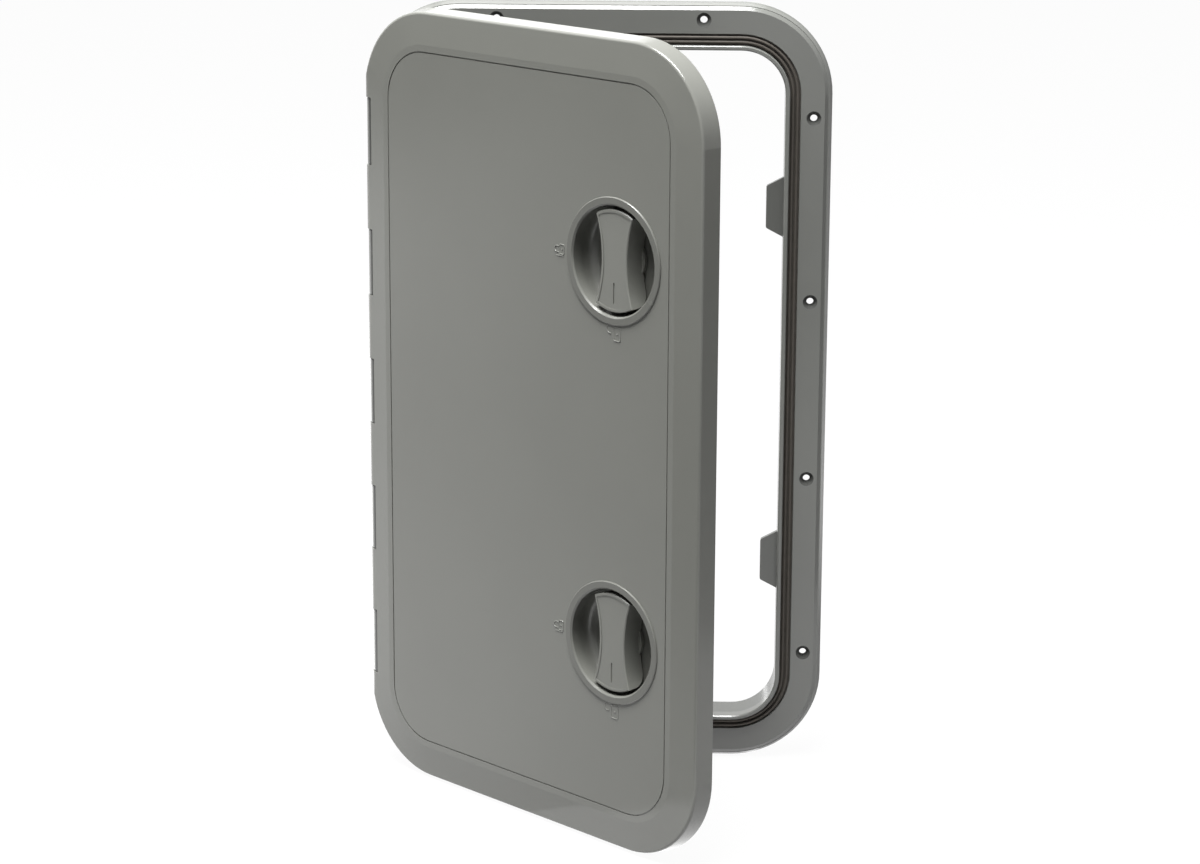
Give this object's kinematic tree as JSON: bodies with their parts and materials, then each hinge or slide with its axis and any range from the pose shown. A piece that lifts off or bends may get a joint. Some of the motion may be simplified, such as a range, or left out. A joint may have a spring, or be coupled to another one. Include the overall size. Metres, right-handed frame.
{
  "type": "deck hatch",
  "caption": "Rectangular marine deck hatch: rounded flanged frame with seal and strike tabs, hinged lid, recessed quarter-turn grip latches.",
  "frame": {"origin": "centre of the flange's back face, which is the mounting plane", "axes": "+Z along the long side, -Y out of the front of the hatch, +X towards the latch side"},
  "size_m": [0.3552, 0.2787, 0.605],
  "materials": {
    "frame_plastic": "moulded, satin",
    "lid_plastic": "moulded, fine grain, satin",
    "latch_plastic": "moulded, satin",
    "dark_plastic": "moulded nylon",
    "white_plastic": "acetal, smooth",
    "seal_rubber": "matt extruded rubber",
    "stainless": "stainless steel"
  },
  "bodies": {
    "frame": {"frame": "frame_plastic", "frame_seal": "seal_rubber", "hinge_rod": "stainless", "hinge_rod_plugs": "dark_plastic"},
    "lid": {"lid": "lid_plastic", "latch_cup_upper": "lid_plastic", "latch_thrust_washer_upper": "white_plastic", "latch_cup_lower": "lid_plastic", "latch_thrust_washer_lower": "white_plastic"},
    "latch_upper": {"latch_knob_upper": "latch_plastic", "latch_shaft_seal_upper": "seal_rubber", "latch_wave_washer_upper": "stainless", "latch_cam_upper": "dark_plastic", "latch_flat_washer_upper": "stainless", "latch_cam_screw_upper": "stainless"},
    "latch_lower": {"latch_knob_lower": "latch_plastic", "latch_shaft_seal_lower": "seal_rubber", "latch_wave_washer_lower": "stainless", "latch_cam_lower": "dark_plastic", "latch_flat_washer_lower": "stainless", "latch_cam_screw_lower": "stainless"}
  },
  "joints": [
    {"name": "lid_hinge", "type": "hinge", "parent": "frame", "child": "lid", "pos_m": [-0.1695, -0.0158, 0], "axis": [0, 0, -1], "range_deg": [-43, 72]},
    {"name": "latch_upper_turn", "type": "hinge", "parent": "lid", "child": "latch_upper", "pos_m": [0.02747, -0.18786, 0.1424], "axis": [0.682, 0.7314, 0], "range_deg": [0, 90]},
    {"name": "latch_lower_turn", "type": "hinge", "parent": "lid", "child": "latch_lower", "pos_m": [0.02747, -0.18786, -0.1424], "axis": [0.682, 0.7314, 0], "range_deg": [0, 90]}
  ]
}
